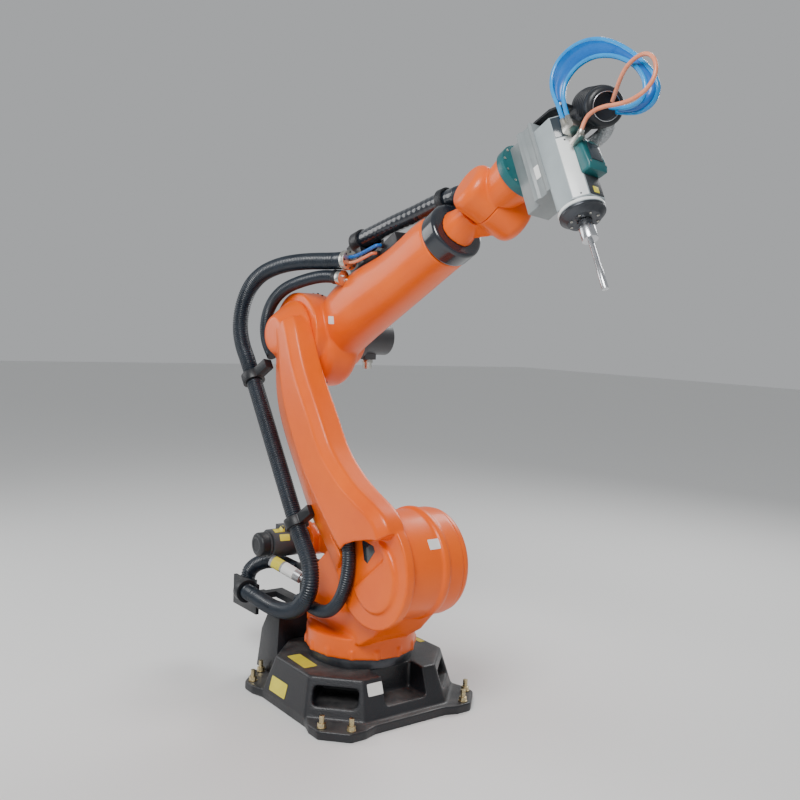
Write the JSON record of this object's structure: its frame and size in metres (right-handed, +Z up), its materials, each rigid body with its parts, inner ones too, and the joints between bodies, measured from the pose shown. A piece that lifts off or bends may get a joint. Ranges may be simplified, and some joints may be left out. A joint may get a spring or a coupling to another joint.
{
  "type": "industrial robot arm with milling spindle",
  "caption": "Floor-mounted articulated industrial robot arm with an outside hose pack and a milling spindle on its flange.",
  "frame": {"origin": "floor level, on the axis that the column turns about", "axes": "+X to the front of the robot, +Y to its left, +Z up; stored with the column straight ahead, the arm raised and the spindle pointing down"},
  "size_m": [2.2459, 0.808, 2.595],
  "materials": {
    "orange_paint": "satin",
    "black_paint": "satin",
    "dark_metal": "satin",
    "motor_grey": "satin",
    "plated_steel": "satin",
    "steel": "polished",
    "black_plastic": "matt",
    "hose_black": "satin",
    "blue_hose": "satin",
    "orange_hose": "satin",
    "teal_plastic": "satin",
    "grey_paint": "satin"
  },
  "bodies": {
    "base": {"base_casting": "black_paint", "bearing_ring": "dark_metal", "anchor_bolts": "plated_steel", "connection_box": "black_paint", "connector_panel": "black_plastic"},
    "column": {"rotating_column": "orange_paint", "drum_end_cap": "orange_paint", "shoulder_motor": "motor_grey", "motor_cap": "black_plastic", "turn_motor": "motor_grey", "accumulator": "plated_steel", "rear_hose_bracket": "black_plastic", "rear_hose": "hose_black"},
    "upper_arm": {"link_arm": "orange_paint", "link_straps": "black_plastic", "link_hose": "hose_black", "column_hose": "hose_black", "inner_column_hose": "hose_black"},
    "lower_arm": {"forearm": "orange_paint", "wrist_ring": "black_plastic", "elbow_motor": "motor_grey", "motor_connector": "plated_steel", "forearm_bracket": "black_paint", "forearm_hose": "hose_black", "hose_saddle": "black_plastic", "supply_lines": "blue_hose", "hose_clamp": "plated_steel", "elbow_hose": "hose_black", "inner_elbow_hose": "hose_black"},
    "hand": {"wrist_hand": "orange_paint", "tool_hose_rear": "hose_black"},
    "swivel": {"wrist_swivel": "orange_paint", "tool_hose_middle": "hose_black"},
    "tool": {"adapter_ring": "teal_plastic", "spindle_bracket": "grey_paint", "rear_plate": "black_paint", "spindle_body": "grey_paint", "nose_ring": "dark_metal", "connector_cover": "teal_plastic", "hose_holder": "black_plastic", "braided_coupling": "plated_steel", "hose_fittings": "plated_steel", "blue_hoses": "blue_hose", "signal_hose": "orange_hose", "tool_hose_front": "hose_black"},
    "rotor": {"spindle_rotor": "steel", "cutter": "steel"}
  },
  "joints": [
    {"name": "column_turn", "type": "hinge", "parent": "base", "child": "column", "pos_m": [0, 0, 0.235], "axis": [0, 0, 1], "range_deg": [-185, 185]},
    {"name": "shoulder_lean", "type": "hinge", "parent": "column", "child": "upper_arm", "pos_m": [0.35, 0, 0.675], "axis": [0, 1, 0], "range_deg": [-11.7, 123.3], "deforming": ["column_hose", "inner_column_hose"]},
    {"name": "elbow_fold", "type": "hinge", "parent": "upper_arm", "child": "lower_arm", "pos_m": [-0.36306, 0, 1.57724], "axis": [0, -1, 0], "range_deg": [-54.6, 95], "deforming": ["elbow_hose", "inner_elbow_hose"]},
    {"name": "forearm_roll", "type": "hinge", "parent": "lower_arm", "child": "hand", "pos_m": [0.71664, 0, 2.10252], "axis": [0.8838, 0, 0.4679], "range_deg": [-180, 180], "deforming": ["tool_hose_rear"]},
    {"name": "wrist_bend", "type": "hinge", "parent": "hand", "child": "swivel", "pos_m": [0.71664, 0, 2.10252], "axis": [-0.2684, -0.8192, 0.5069], "range_deg": [-97.1, 92.9], "deforming": ["tool_hose_middle"]},
    {"name": "flange_turn", "type": "hinge", "parent": "swivel", "child": "tool", "pos_m": [0.71664, 0, 2.10252], "axis": [0.8691, 0.021, 0.4941], "range_deg": [-180, 180], "deforming": ["tool_hose_front"]},
    {"name": "spindle_spin", "type": "hinge", "parent": "tool", "child": "rotor", "pos_m": [1.04256, 0.00788, 2.28783], "axis": [0.4936, -0.1007, -0.8638], "continuous": true}
  ]
}
